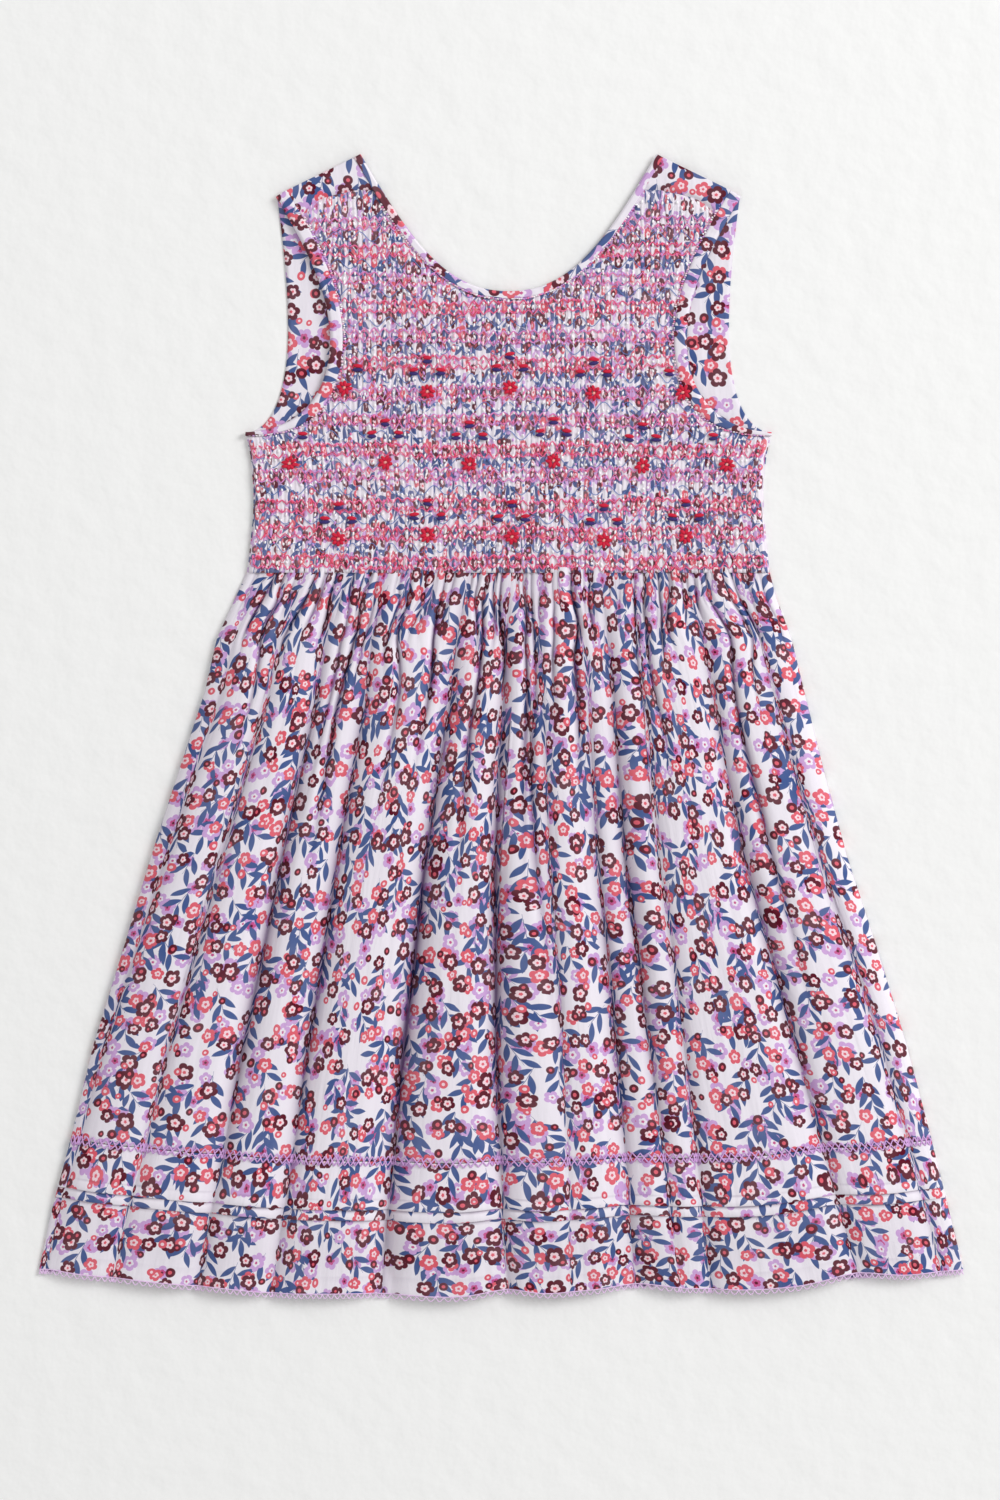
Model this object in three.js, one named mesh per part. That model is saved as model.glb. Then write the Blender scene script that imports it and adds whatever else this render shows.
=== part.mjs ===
// A girl's sleeveless mini dress laid flat on its back: a smocked front bodice, a plain back, a gathered skirt,
// an openwork insertion, a hem band with two tucks and a picot edging. Millimetres, +Z up: +Y runs from the hem
// to the shoulders, +X is the wearer's left, and z = 0 is the surface that the dress lies on.
// Each cloth piece is a thin wall. Neighbouring pieces keep a small gap along the seam that joins them.
import * as THREE from "three";

// Cloth
const SEAM_GAP = 0.3;
const BACK_WALL = 1.2;
const SKIRT_WALL = 1.3;
const SMOCKED_WALL = 2.4;
const SHOULDER_WALL = 1.4;
const BINDING_WALL = 2;
const FRONT_UNDER = BACK_WALL + SEAM_GAP; // the height at which the front layer's edges lie on the back layer

// Bodice, measured from its own middle, half of it at a time
const BODICE_MIDDLE = 2.2; // how far its middle lies to the right of the hem's middle
const WAIST_Y = 76;
const SIDE_SEAM = [
  { y: WAIST_Y, half: 128.3 },
  { y: 88, half: 127 },
  { y: 103, half: 125.5 },
  { y: 116, half: 125.2 },
  { y: 133, half: 126.7 },
  { y: 144.5, half: 129.2 },
];
const UNDERARM = SIDE_SEAM.at(-1);
const SHOULDER_TIP = { x: 113.7, y: 260.5 };
const SHOULDER_NECK = { x: 73, y: 281 };
const NECK_FOOT_Y = 213.5;
const NECK_BINDING_WIDTH = 3.8;
const BACK_NECK_DROP = 4; // how much lower the back's neck edge lies than the front's
const ARMHOLE_BINDING_WIDTH = 6;
const ARMHOLE_BINDING_END = 1.8; // its width where it rolls under at the side seam
const FRONT_ARMHOLE_WAIST = { x: 87, y: 190 }; // the front armhole's innermost point
const BACK_ARMHOLE_WAIST = { x: 108.3, y: 195 };
const SMOCKING_ARMHOLE_Y = 242; // the smocking ends in a quarter ellipse from this height at the armhole
const SMOCKING_NECK_Y = 262; // to this one at the neck

// Skirt: how far below the waist seam each level lies, measured down its middle
const INSERTION_DROP = 290;
const INSERTION_WIDTH = 4.2;
const FIRST_TUCK_DROP = 309;
const TUCK_DEPTH = 5;
const TUCK_RISE = 0.9;
const PICOT_WIDTH = 2.6;
const HEM_DROP = 357;
const HEM_BOW = 13.5; // how much higher the hem's corners lie than its middle
const BACK_HEM_RISE = 5; // how much higher the back's hem lies than the front's, at its middle

// The skirt's sections: how far each lies below the waist, half its width, its middle and the height of its folds
const SKIRT_SECTIONS = [
  { drop: 0, half: 128.3, middle: BODICE_MIDDLE, loft: 4.8 },
  { drop: 14, half: 133.1, middle: 0.9, loft: 7.6 },
  { drop: 34, half: 141.1, middle: 0.1, loft: 10.6 },
  { drop: 62, half: 147.4, middle: 0.3, loft: 13.2 },
  { drop: 100, half: 157.9, middle: -1.2, loft: 15.2 },
  { drop: 146, half: 171.1, middle: -2.4, loft: 16.2 },
  { drop: 192, half: 185, middle: -1.8, loft: 16.4 },
  { drop: 242, half: 199.9, middle: -1.9, loft: 16 },
  { drop: 290, half: 211.5, middle: -1.4, loft: 15.7 },
  { drop: 325, half: 220.2, middle: -1.8, loft: 15.5 },
  { drop: HEM_DROP, half: 227.3, middle: -1.3, loft: 15.2 },
];

// The front's largest folds. across is where a valley runs between the side edges, from -1 to 1, and deep is how far
// it sinks, both at the waist, half way down and at the hem. wide is its half width, and draw is how far it draws
// the hem up.
const FRONT_VALLEYS = [
  { across: [-0.93, -0.962, -0.985], deep: [1.2, 3, 2.6], wide: 5, draw: 2 },
  { across: [-0.74, -0.805, -0.84], deep: [1.2, 3.6, 1.6], wide: 7, draw: 0.5 },
  { across: [-0.625, -0.63, -0.656], deep: [1.2, 6, 5], wide: 8, draw: 0 },
  { across: [-0.46, -0.47, -0.495], deep: [1.2, 6, 6], wide: 9, draw: -1 },
  { across: [-0.11, -0.225, -0.257], deep: [1.2, 7.8, 6.4], wide: 10, draw: 1 },
  { across: [0.013, -0.012, 0.015], deep: [1.2, 7, 5.5], wide: 8, draw: 4 },
  { across: [0.11, 0.148, 0.15], deep: [1.2, 2.5, 0], wide: 6, draw: 1.5 },
  { across: [0.3, 0.285, 0.29], deep: [0, 5, 5.8], wide: 12, draw: 5.5 },
  { across: [0.34, 0.366, 0.385], deep: [1.2, 5, 0], wide: 6, draw: 0 },
  { across: [0.5, 0.458, 0.452], deep: [1.2, 2.6, 3], wide: 7, draw: 1 },
  { across: [0.66, 0.713, 0.77], deep: [1.2, 5, 2.5], wide: 9, draw: 4.5 },
  { across: [0.84, 0.925, 0.95], deep: [1.2, 3.2, 2], wide: 6, draw: 1 },
];

const DRAW_REACH = 0.22; // a smaller number draws the hem up over a wider stretch

// The back's folds: the lanes between them lie flat on the surface, and each fold lifts the cloth a little.
const BACK_FOLDS = [
  { across: -0.8, lift: 0.5, wide: 9 },
  { across: -0.55, lift: 0.7, wide: 11 },
  { across: -0.22, lift: 0.6, wide: 10 },
  { across: 0.12, lift: 0.7, wide: 12 },
  { across: 0.4, lift: 0.5, wide: 9 },
  { across: 0.72, lift: 0.6, wide: 10 },
];

const fabric = (color) => new THREE.MeshStandardMaterial({ color, roughness: 0.85, metalness: 0 });
const PRINTED_COTTON = 0xd9cbe0;
const SMOCKED_COTTON = 0xb98aa8;
const LILAC_THREAD = 0xc49ad8;

const { lerp, smoothstep } = THREE.MathUtils;
const point = ({ x, y }) => new THREE.Vector2(x, y);

// Flat pieces of the bodice

// A smooth edge that starts level at one point, runs upright through another and ends at a third
function armholeEdge(waist) {
  const level = new THREE.Vector2(lerp(waist.x, UNDERARM.half, 0.36), UNDERARM.y + 0.6);
  const path = new THREE.CurvePath();
  path.add(new THREE.CubicBezierCurve(
    new THREE.Vector2(UNDERARM.half, UNDERARM.y), level,
    new THREE.Vector2(waist.x, lerp(UNDERARM.y, waist.y, 0.4)), point(waist)));
  path.add(new THREE.CubicBezierCurve(
    point(waist), new THREE.Vector2(waist.x, lerp(waist.y, SHOULDER_TIP.y, 0.33)),
    new THREE.Vector2(lerp(waist.x, SHOULDER_TIP.x, 0.44), lerp(waist.y, SHOULDER_TIP.y, 0.65)),
    point(SHOULDER_TIP)));
  return path.getSpacedPoints(22);
}

const neckEdge = new THREE.CubicBezierCurve(
  new THREE.Vector2(0, NECK_FOOT_Y), new THREE.Vector2(31, NECK_FOOT_Y),
  new THREE.Vector2(48, 238), point(SHOULDER_NECK)).getSpacedPoints(18);

// An edge's points moved square to it, by a distance that may change along it; to the left of its run is positive
function movedEdge(points, distanceAt) {
  return points.map((place, i) => {
    const before = points[Math.max(i - 1, 0)];
    const after = points[Math.min(i + 1, points.length - 1)];
    const along = after.clone().sub(before).normalize();
    const distance = distanceAt(i / (points.length - 1));
    return new THREE.Vector2(place.x - along.y * distance, place.y + along.x * distance);
  });
}

const mirrored = (points) => points.map(({ x, y }) => new THREE.Vector2(-x, y)).reverse();

function flatWall(outline, under, wall) {
  const geometry = new THREE.ExtrudeGeometry(new THREE.Shape(outline), { depth: wall, bevelEnabled: false });
  return geometry.translate(BODICE_MIDDLE, 0, under);
}

const frontArmhole = armholeEdge(FRONT_ARMHOLE_WAIST);
const backArmhole = armholeEdge(BACK_ARMHOLE_WAIST);
const armholeBindingWidth = (t) =>
  lerp(ARMHOLE_BINDING_END, ARMHOLE_BINDING_WIDTH, smoothstep(t, 0, 0.25));
const sideSeamUpTo = (top) => [
  new THREE.Vector2(SIDE_SEAM[0].half, WAIST_Y + SEAM_GAP / 2),
  ...SIDE_SEAM.slice(1, -1).map(({ y, half }) => new THREE.Vector2(half, y)),
  new THREE.Vector2(UNDERARM.half, top),
];

// The height of the shoulder seam above a place along it
const shoulderSeamY = (x) =>
  SHOULDER_NECK.y + ((SHOULDER_TIP.y - SHOULDER_NECK.y) * (x - SHOULDER_NECK.x)) / (SHOULDER_TIP.x - SHOULDER_NECK.x);

function backBodice() {
  const neck = movedEdge(neckEdge, () => -BACK_NECK_DROP).slice(0, -1).filter(({ x }) => x > 0);
  const neckTop = new THREE.Vector2(SHOULDER_NECK.x + BACK_NECK_DROP, shoulderSeamY(SHOULDER_NECK.x + BACK_NECK_DROP));
  const half = [...sideSeamUpTo(UNDERARM.y).slice(0, -1), ...backArmhole, neckTop, ...neck.reverse()];
  return flatWall([...half, ...mirrored(half)], 0, BACK_WALL);
}

const armholePanelEdge = movedEdge(frontArmhole, (t) => armholeBindingWidth(t) + SEAM_GAP);
const neckPanelEdge = movedEdge(neckEdge, () => -(NECK_BINDING_WIDTH + SEAM_GAP));
const smockingArmhole = armholePanelEdge.findIndex(({ y }) => y >= SMOCKING_ARMHOLE_Y);
const smockingNeck = neckPanelEdge.findIndex(({ y }) => y >= SMOCKING_NECK_Y);

// The curve where the smocking ends, from the neck to the armhole, moved out by reach and shortened at both ends
function smockingEnd(reach, shorter) {
  const neck = neckPanelEdge[smockingNeck];
  const armhole = armholePanelEdge[smockingArmhole];
  const quarter = new THREE.EllipseCurve(
    neck.x, armhole.y, armhole.x - neck.x + reach, neck.y - armhole.y + reach,
    Math.PI / 2 - shorter, shorter, true);
  return quarter.getPoints(8);
}

function smockedPanel() {
  const neck = neckPanelEdge.slice(0, smockingNeck).filter(({ x }) => x > 0);
  const half = [
    ...sideSeamUpTo(armholePanelEdge[0].y), ...armholePanelEdge.slice(1, smockingArmhole),
    ...smockingEnd(0, 0).reverse(), ...neck.reverse(),
  ];
  return flatWall([...half, ...mirrored(half)], FRONT_UNDER, SMOCKED_WALL);
}

// Where the last stretch of an edge comes up to the shoulder seam
function seamEnd(points) {
  const [before, last] = points.slice(-2);
  const above = ({ x, y }) => y - shoulderSeamY(x) + SEAM_GAP;
  return before.clone().lerp(last, above(before) / (above(before) - above(last)));
}

// The plain shoulder between the smocking's end, the two bindings and the shoulder seam, on one side of the bodice
function shoulder(side) {
  const half = [
    ...smockingEnd(SEAM_GAP, 0.03),
    ...armholePanelEdge.slice(smockingArmhole + 1, -1), seamEnd(armholePanelEdge),
    seamEnd(neckPanelEdge), ...neckPanelEdge.slice(smockingNeck + 1, -1).reverse(),
  ];
  return flatWall(side > 0 ? half : mirrored(half), FRONT_UNDER, SHOULDER_WALL);
}

function armholeBinding(side) {
  const half = [...frontArmhole, ...movedEdge(frontArmhole, armholeBindingWidth).reverse()];
  return flatWall(side > 0 ? half : mirrored(half), FRONT_UNDER, BINDING_WALL);
}

function neckBinding() {
  const outer = movedEdge(neckEdge, () => -NECK_BINDING_WIDTH);
  const whole = (points) => [...mirrored(points.slice(1)), ...points];
  return flatWall([...whole(outer), ...whole(neckEdge).reverse()], FRONT_UNDER, BINDING_WALL);
}

// The skirt

// A value from a column of the sections, between the two that a drop lies between
function sectionValue(column, drop) {
  const next = Math.max(SKIRT_SECTIONS.findIndex((section) => section.drop >= drop), 1);
  const low = SKIRT_SECTIONS[next - 1];
  const high = SKIRT_SECTIONS[next];
  return lerp(low[column], high[column], (drop - low.drop) / (high.drop - low.drop));
}

// A value given at the waist, half way down and at the hem, on one smooth curve
function downSkirt([waist, halfWay, hem], drop) {
  const t = drop / HEM_DROP;
  return waist * (1 - t) * (1 - 2 * t) + halfWay * 4 * t * (1 - t) + hem * t * (2 * t - 1);
}

function skirtPlace(across, drop) {
  const half = sectionValue("half", drop);
  const bow = HEM_BOW * Math.pow(drop / HEM_DROP, 0.9);
  return { x: sectionValue("middle", drop) + across * half, y: WAIST_Y - drop + bow * across * across, half };
}

// How much thicker the hem band is where its cloth is folded into the two tucks, thickest at each tuck's foot
function tuckRise(drop) {
  const intoTucks = (drop - FIRST_TUCK_DROP) / TUCK_DEPTH;
  if (intoTucks <= 0 || intoTucks > 2) return 0;
  return TUCK_RISE * (intoTucks % 1 || 1);
}

function frontSurface(across, drop) {
  const place = skirtPlace(across, drop);
  let sunk = 0;
  let drawn = 0;
  for (const valley of FRONT_VALLEYS) {
    const away = ((across - downSkirt(valley.across, drop)) * place.half) / valley.wide;
    sunk += Math.max(downSkirt(valley.deep, drop), 0) / Math.pow(1 + away * away, 1.5);
    drawn += valley.draw * Math.exp(-away * away * DRAW_REACH);
  }
  const inside = Math.sqrt(1 - Math.pow(Math.abs(across), 7));
  const edgeTop = FRONT_UNDER + SKIRT_WALL;
  const cloth = edgeTop + (sectionValue("loft", drop) - edgeTop - sunk) * inside;
  const y = place.y + drawn * inside * Math.pow(drop / HEM_DROP, 5);
  return { x: place.x, y, top: cloth + tuckRise(drop), under: cloth - SKIRT_WALL };
}

function backSurface(across, drop) {
  const { x, y, half } = skirtPlace(across, drop);
  let lift = 0;
  for (const fold of BACK_FOLDS) {
    const away = ((across - fold.across) * half) / fold.wide;
    lift = Math.max(lift, fold.lift * (1 - away * away) * smoothstep(drop, 20, 120));
  }
  const rise = BACK_HEM_RISE * (1 - across * across) * Math.pow(drop / HEM_DROP, 5);
  return { x, y: y + rise, top: lift + BACK_WALL, under: lift };
}

// A wall between two levels of the skirt: a box whose vertices are moved onto the cloth's two faces.
// drops runs from the piece's lower edge up.
function skirtPiece(surface, columns, drops) {
  const geometry = new THREE.BoxGeometry(2, 1, 1, columns, drops.length - 1, 1);
  const vertices = geometry.getAttribute("position");
  for (let i = 0; i < vertices.count; i++) {
    const drop = drops[Math.round((vertices.getY(i) + 0.5) * (drops.length - 1))];
    const { x, y, top, under } = surface(vertices.getX(i), drop);
    vertices.setXYZ(i, x, y, vertices.getZ(i) > 0 ? top : under);
  }
  geometry.computeVertexNormals();
  return geometry;
}

const insertionTop = INSERTION_DROP - INSERTION_WIDTH / 2;
const insertionFoot = INSERTION_DROP + INSERTION_WIDTH / 2;
const firstTuckFoot = FIRST_TUCK_DROP + TUCK_DEPTH;
const secondTuckFoot = firstTuckFoot + TUCK_DEPTH;
const bandFoot = HEM_DROP - PICOT_WIDTH;
const innerDrops = SKIRT_SECTIONS.map(({ drop }) => drop).filter((drop) => drop > 0 && drop < insertionTop - 5);
const drops = {
  skirt: [insertionTop, (insertionTop + innerDrops.at(-1)) / 2, ...innerDrops.reverse(), SEAM_GAP / 2],
  insertion: [insertionFoot, insertionTop + SEAM_GAP],
  hem_band: [
    bandFoot, lerp(secondTuckFoot, bandFoot, 0.5), secondTuckFoot + SEAM_GAP, secondTuckFoot,
    firstTuckFoot + SEAM_GAP, firstTuckFoot, FIRST_TUCK_DROP, insertionFoot + SEAM_GAP,
  ],
  picot: [HEM_DROP, bandFoot + SEAM_GAP],
};

// The dress
const dress = new THREE.Group();
function addPiece(name, geometry, color) {
  const mesh = new THREE.Mesh(geometry, fabric(color));
  mesh.name = name;
  dress.add(mesh);
}

addPiece("back_bodice", backBodice(), PRINTED_COTTON);
addPiece("front_smocked_panel", smockedPanel(), SMOCKED_COTTON);
addPiece("neck_binding", neckBinding(), PRINTED_COTTON);
for (const [word, side] of [["left", 1], ["right", -1]]) {
  addPiece("armhole_binding_" + word, armholeBinding(side), PRINTED_COTTON);
  addPiece("shoulder_" + word, shoulder(side), PRINTED_COTTON);
}
for (const [word, surface, columns] of [["front", frontSurface, 62], ["back", backSurface, 30]]) {
  addPiece(word + "_skirt", skirtPiece(surface, columns, drops.skirt), PRINTED_COTTON);
  addPiece(word + "_insertion", skirtPiece(surface, columns, drops.insertion), LILAC_THREAD);
  addPiece(word + "_hem_band", skirtPiece(surface, columns, drops.hem_band), PRINTED_COTTON);
  addPiece(word + "_picot", skirtPiece(surface, columns, drops.picot), LILAC_THREAD);
}

// The origin is the middle of the floor that the dress covers.
const extent = new THREE.Box3().setFromObject(dress);
const middle = extent.getCenter(new THREE.Vector3());
dress.position.set(-middle.x, -middle.y, -extent.min.z);

export default dress;
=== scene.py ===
import math

import bmesh
import bpy
import numpy as np
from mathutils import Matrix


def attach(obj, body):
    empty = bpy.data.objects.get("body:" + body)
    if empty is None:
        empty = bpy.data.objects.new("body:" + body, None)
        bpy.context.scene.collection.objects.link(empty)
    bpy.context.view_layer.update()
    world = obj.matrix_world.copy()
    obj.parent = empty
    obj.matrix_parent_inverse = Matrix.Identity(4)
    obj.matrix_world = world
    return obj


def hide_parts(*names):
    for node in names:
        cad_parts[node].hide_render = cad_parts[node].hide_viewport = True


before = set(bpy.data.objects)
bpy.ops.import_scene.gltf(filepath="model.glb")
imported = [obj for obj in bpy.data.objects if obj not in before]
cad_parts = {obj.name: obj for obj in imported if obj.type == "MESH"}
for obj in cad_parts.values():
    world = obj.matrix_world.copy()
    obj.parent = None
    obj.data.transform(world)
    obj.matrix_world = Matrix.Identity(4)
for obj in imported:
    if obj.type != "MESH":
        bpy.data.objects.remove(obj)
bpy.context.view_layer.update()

# Back bodice.
# The plain back, cut in one with its two straps from off-white cotton voile with a small print of blossoms,
# buds and leafy sprigs. It lies flat on the surface, and the front lies on it.

MM = 0.001  # the sizes below are in mm, and the frame is in metres
PATTERN_PLACE = (1.3, -0.24, 0)  # where the pattern's own middle lies on the frame
BODICE_MIDDLE = 2.2
WAIST_Y = 76
SIDE_SEAM_Y = (76, 88, 103, 116, 133, 144.5)
SIDE_SEAM_HALF = (128.3, 127, 125.5, 125.2, 126.7, 129.2)
UNDERARM = (129.2, 144.5)
SHOULDER_TIP = (113.7, 260.5)
SHOULDER_NECK = (73, 281)
NECK_FOOT_Y = 213.5
BACK_NECK_DROP = 4
BACK_ARMHOLE_WAIST = (108.3, 195)
VOILE = 0.4  # the cloth's thickness
BACK_BODICE_TOP = 0.7
BACK_BODICE_CUT = 400  # where on the printed cloth the piece is cut, in mm along it
NECK_SHARE = 0.62  # of the back's upper edge, the rest of which is the shoulder
SEAM_SHARE = 0.36  # of the back's side edge, the rest of which is the armhole

GROUND_WHITE = (238, 232, 241)
LEAF_BLUE = (66, 89, 144)
BURGUNDY = (92, 10, 34)
CORAL = (224, 92, 108)
LILAC = (206, 164, 218)
MAGENTA = (200, 80, 140)
PALE_PINK = (246, 216, 224)


def lerp(low, high, part):
    return low + (high - low) * part


def smoothstep(value, low, high):
    part = np.clip((value - low) / (high - low), 0, 1)
    return part * part * (3 - 2 * part)


def dye(red, green, blue):
    """A colour named by the numbers of a colour card, from 0 to 255, as Blender's linear colour"""
    return (*[((shade / 255 + 0.055) / 1.055) ** 2.4 for shade in (red, green, blue)], 1)


class Reading:
    """What a shader node gives, which the signs of arithmetic work on"""

    def __init__(self, socket):
        self.socket = socket

    def __add__(self, other):
        return maths("ADD", self, other)

    def __sub__(self, other):
        return maths("SUBTRACT", self, other)

    def __rsub__(self, other):
        return maths("SUBTRACT", other, self)

    def __mul__(self, other):
        return maths("MULTIPLY", self, other)

    def __truediv__(self, other):
        return maths("DIVIDE", self, other)

    def __lt__(self, other):
        return maths("LESS_THAN", self, other)

    def __abs__(self):
        return maths("ABSOLUTE", self)


def feed(socket, value):
    """Joins a socket to a reading, or sets it to a number, a colour or a place"""
    if isinstance(value, Reading):
        socket.id_data.links.new(value.socket, socket)
    else:
        socket.default_value = value


def node(kind, inputs, output=0, tree=None, **settings):
    """What a new shader node gives: one reading, or all of them if output is None. The node joins the tree of
    the readings that go into it, unless a tree is named."""
    tree = tree or next(value.socket.id_data for value in inputs.values() if isinstance(value, Reading))
    made = tree.nodes.new("ShaderNode" + kind)
    for name, value in settings.items():
        setattr(made, name, value)
    for place, value in inputs.items():
        feed(made.inputs[place], value)
    return [Reading(socket) for socket in made.outputs] if output is None else Reading(made.outputs[output])


def maths(operation, *values):
    return node("Math", dict(enumerate(values)), operation=operation)


def vector_maths(operation, one, other):
    return node("VectorMath", {0: one, 1: other}, operation=operation)


def clamped(value, least=0, most=1):
    return node("Clamp", {0: value, 1: least, 2: most})


def spread(value, least, most, start=0, end=1):
    """A value's run from start to end, spread from least to most"""
    return node("MapRange", {0: value, 1: start, 2: end, 3: least, 4: most})


def inked(under, paint, mask, **settings):
    """The colour under with paint over it, where the mask is 1"""
    return node("Mix", {0: mask, 6: under, 7: paint}, 2, data_type="RGBA", **settings)


INK_EDGE = 0.22  # mm over which an ink's edge fades


def printed(under, paint, room):
    """Ink where room, the distance inside the motif's outline in mm, is more than nothing"""
    return inked(under, dye(*paint), clamped(room / INK_EDGE))


def motif_places(cloth, cell, seed, least_turn, most_turn):
    """The place around the nearest motif's middle, turned at random, and that motif's three random numbers"""
    moved = vector_maths("ADD", cloth, (seed * 37.0, seed * 61.0, 0))
    _, colour, middle, *_ = node("TexVoronoi", {"Vector": moved, "Scale": 1 / cell, "Randomness": 0.8}, None,
                                 voronoi_dimensions="2D")
    chance = node("SeparateColor", {0: colour}, None)
    turned = node("VectorRotate", {"Vector": vector_maths("SUBTRACT", moved, middle),
                                   "Angle": spread(chance[0], least_turn, most_turn)}, rotation_type="Z_AXIS")
    x, y, _ = node("SeparateXYZ", {0: turned}, None)
    return x, y, chance


def blossoms(under, cloth, cell, seed, radius, share, paints):
    """Five-petal blossoms, one in a share of the cells, with a centre and an eye of other colours"""
    x, y, chance = motif_places(cloth, cell, seed, 0, 2 * math.pi)
    size = (chance[2] * (radius * 0.35) + radius * 0.78) * (chance[1] < share)
    lobes = maths("COSINE", maths("ARCTAN2", y, x) * 2.5)
    outline = size * (maths("SQRT", abs(lobes)) * 0.34 + 0.66)
    for part, paint in zip((1, 0.48, 0.2), paints):
        under = printed(under, paint, outline * part - maths("SQRT", x * x + y * y))
    return under


def buds(under, cloth, cell, seed, radius, share, paints):
    """Plain round buds with a paler eye"""
    x, y, chance = motif_places(cloth, cell, seed, 0, 0)
    size = (chance[2] * (radius * 0.4) + radius * 0.7) * (chance[1] < share)
    for part, paint in zip((1, 0.42), paints):
        under = printed(under, paint, size * part - maths("SQRT", x * x + y * y))
    return under


LEAF_LONG = 10.5
LEAF_HALF = 1.6
LEAF_GAP = 6.5  # between the feet of two leaves on the same side of a stem
LEAF_STAGGER = 2.8  # how much further up the stem one side's leaves stand
LEAF_TURN = 0.65
STEM_HALF = 0.24
STEM_REACH = 6


def sprigs(under, cloth, cell, seed, share):
    """Sprigs of a thin stem with two pointed leaves on each side of it, growing up the cloth"""
    up = math.pi / 2
    along, across, chance = motif_places(cloth, cell, seed, up - 0.9, up + 0.9)
    along = maths("GREATER_THAN", across, 0) * -LEAF_STAGGER + along + 3.2
    out = abs(across)
    step = maths("ROUND", (along - out / math.tan(LEAF_TURN)) / LEAF_GAP)
    foot = clamped(step, -1, 0) * -LEAF_GAP + along
    reach = foot * math.cos(LEAF_TURN) + out * math.sin(LEAF_TURN)
    aside = out * math.cos(LEAF_TURN) - foot * math.sin(LEAF_TURN)
    part = clamped(reach / LEAF_LONG)
    leaf = part * (1 - part) * (4 * LEAF_HALF) - abs(aside)
    stem = maths("MINIMUM", STEM_HALF - out, STEM_REACH - abs(along + 2.5))
    return printed(under, LEAF_BLUE, maths("MAXIMUM", leaf, stem) * (chance[1] < share))


NOISE_RUN = (0.3, 0.7)  # between which most of a noise's values lie
WEAVE_RISE = 0.12
CRINKLE_SHARE = 11  # height of the long soft crinkles against that of the weave
# painted shade, multiplied into the print at the bottom of the creases and along the tucks
PAINTED_CREASE_SHADE = (128, 106, 142)


def new_material(name, finish):
    """A new material, its node tree and its shader, with the shader's inputs set as finish says"""
    material = bpy.data.materials.new(name)
    material.use_nodes = True
    shader = material.node_tree.nodes["Principled BSDF"]
    for place, value in finish.items():
        shader.inputs[place].default_value = value
    return material, material.node_tree, shader


def noise(place, scale, detail, output=0):
    return node("TexNoise", {"Vector": place, "Scale": scale, "Detail": detail}, output)


def roughen(shader, height, distance, strength=0.5):
    """Bump of a height, whose full rise is distance"""
    bump = node("Bump", {"Height": height, "Distance": distance, "Strength": strength})
    feed(shader.inputs["Normal"], bump)


def cotton_finish(name, haze, least_haze, most_haze):
    """The printed voile, matt, with a plain weave, slubs and soft crinkles in its bump, at the scale of the
    flat cloth. Painted shade darkens its colour at the bottom of the creases and along the tucks, where shade
    falls."""
    material, tree, shader = new_material(name, {"Roughness": 0.9, "Specular IOR Level": 0.1,
                                                 "Sheen Weight": 0.04, "Sheen Roughness": 0.5})
    flat = node("UVMap", {}, 0, tree, uv_map="flat_cloth")
    cloth = vector_maths("MULTIPLY", flat, (1 / MM, 1 / MM, 0))
    warp, weft = [node("TexWave", {"Vector": cloth, "Scale": 0.9, "Distortion": 0.6}, 1, bands_direction=run)
                  for run in "XY"]
    height = (warp + weft) * 0.3 + noise(cloth, 0.45, 4)
    height = height + noise(vector_maths("MULTIPLY", cloth, (1, 0.16, 0)), 0.2, 3) * CRINKLE_SHARE
    roughen(shader, height, WEAVE_RISE * MM, 0.6)
    wash = spread(noise(cloth, 0.06, 2), least_haze, most_haze, *NOISE_RUN)
    hazed = inked(small_print(cloth), dye(*haze), wash)
    # painted shade: how dark the creases and tucks are painted, read from the mesh's attribute
    painted_shade = node("Attribute", {}, "Fac", tree, attribute_name="painted_shade")
    feed(shader.inputs["Base Color"], inked(hazed, dye(*PAINTED_CREASE_SHADE), painted_shade, blend_type="MULTIPLY"))
    return material


def small_print(cloth):
    """The printed colours of the voile, layer over layer, from the flat place of the cloth in mm"""
    cloth = vector_maths("ADD", cloth, vector_maths("MULTIPLY", noise(cloth, 0.05, 1, 1), (3, 3, 0)))
    colour = blossoms(dye(*GROUND_WHITE), cloth, 14.5, 1, 4.3, 0.75, (LILAC, MAGENTA, BURGUNDY))
    colour = sprigs(colour, cloth, 20, 2, 1)
    colour = blossoms(colour, cloth, 15.5, 4, 4.3, 0.75, (LILAC, GROUND_WHITE, MAGENTA))
    colour = sprigs(colour, cloth, 21, 3, 0.7)
    colour = blossoms(colour, cloth, 14.5, 5, 4, 0.7, (CORAL, PALE_PINK, CORAL))
    colour = blossoms(colour, cloth, 14.5, 6, 4.5, 0.75, (BURGUNDY, PALE_PINK, CORAL))
    colour = buds(colour, cloth, 12.5, 7, 2.2, 0.5, (CORAL, PALE_PINK))
    return buds(colour, cloth, 13.5, 8, 2.5, 0.55, (BURGUNDY, CORAL))


printed_voile = cotton_finish("printed_voile", GROUND_WHITE, least_haze=0, most_haze=0.08)


def flat_grid(name, columns, rows, size):
    grid = bmesh.new()
    bmesh.ops.create_grid(grid, x_segments=columns, y_segments=rows, size=size)
    mesh = bpy.data.meshes.new(name)
    grid.to_mesh(mesh)
    grid.free()
    return mesh


def in_scene(name, data):
    made = bpy.data.objects.new(name, data)
    bpy.context.scene.collection.objects.link(made)
    return made


def spots_of(mesh):
    """The x, y and z of a mesh's points"""
    spots = np.empty(len(mesh.vertices) * 3)
    mesh.vertices.foreach_get("co", spots)
    return spots.reshape(-1, 3).T


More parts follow.
